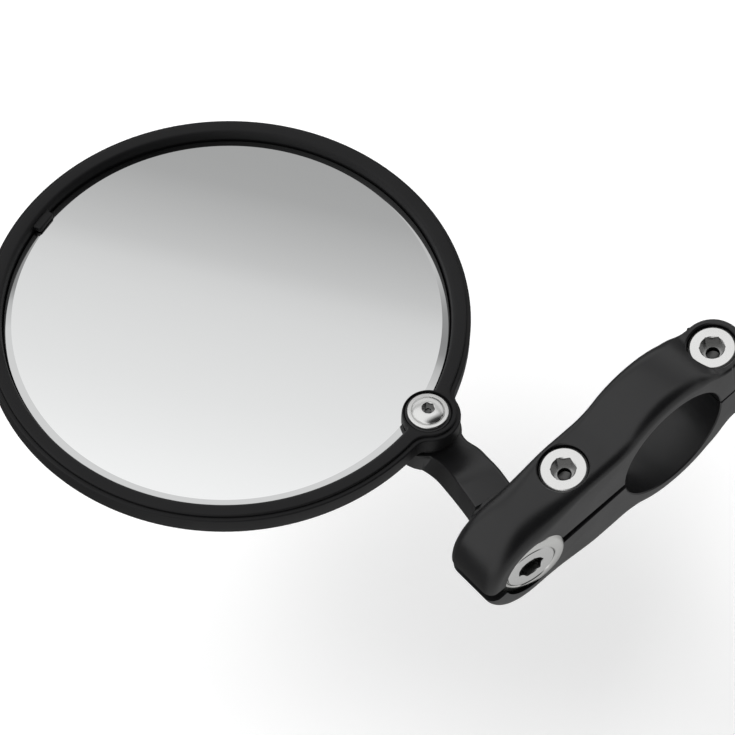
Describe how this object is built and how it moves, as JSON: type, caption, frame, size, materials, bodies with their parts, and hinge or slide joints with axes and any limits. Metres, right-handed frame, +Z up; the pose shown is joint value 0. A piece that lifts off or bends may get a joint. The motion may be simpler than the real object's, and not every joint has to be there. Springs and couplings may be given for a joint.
{
  "type": "bike mirror",
  "caption": "Round bar-end bicycle mirror: a split clamp holds the handlebar and a ball, whose short bowed arm carries the mirror head on a friction pivot.",
  "frame": {"origin": "centre of the handlebar bore in the clamp", "axes": "+Y along the handlebar towards the mirror head, +X along the clamp away from the ball towards the outer bolt, +Z up, the way the clamp bolts' heads and the mirror's face point"},
  "size_m": [0.1028, 0.1139, 0.032],
  "materials": {
    "anodised_black": "satin anodised aluminium",
    "screw_steel": "bright zinc-plated steel",
    "ball_steel": "polished stainless steel",
    "housing_plastic": "fine-grained black glass-filled nylon",
    "ring_plastic": "satin black glass-filled nylon",
    "washer_black": "matt acetal",
    "bush_nylon": "self-lubricating nylon",
    "nut_insert": "nylon",
    "adhesive": "foam tape",
    "mirror_silver": "silvered flat glass"
  },
  "bodies": {
    "clamp": {"upper_jaw": "anodised_black", "lower_jaw": "anodised_black", "inner_clamp_bolt": "screw_steel", "outer_clamp_bolt": "screw_steel"},
    "ball": {"pivot_ball": "ball_steel"},
    "arm": {"arm": "anodised_black", "ball_screw": "screw_steel", "lock_washer": "screw_steel", "pivot_screw": "screw_steel", "pivot_washer": "washer_black", "pivot_bush": "bush_nylon", "friction_washer": "washer_black", "lock_nut": "screw_steel", "lock_nut_insert": "nut_insert"},
    "mirror_head": {"back_shell": "housing_plastic", "front_ring": "ring_plastic", "adhesive_ring": "adhesive", "mirror_glass": "mirror_silver"}
  },
  "joints": [
    {"name": "ball_tilt", "type": "hinge", "parent": "clamp", "child": "ball", "pos_m": [-0.032, 0, 0], "axis": [0.99, -0.1409, 0], "range_deg": [-15, 15]},
    {"name": "arm_spin", "type": "hinge", "parent": "ball", "child": "arm", "pos_m": [-0.032, 0, 0], "axis": [0.1409, 0.99, 0], "continuous": true},
    {"name": "head_swivel", "type": "hinge", "parent": "arm", "child": "mirror_head", "pos_m": [-0.02822, 0.02653, 0], "axis": [0.1889, -0.0269, 0.9816], "range_deg": [-72, 16]}
  ]
}
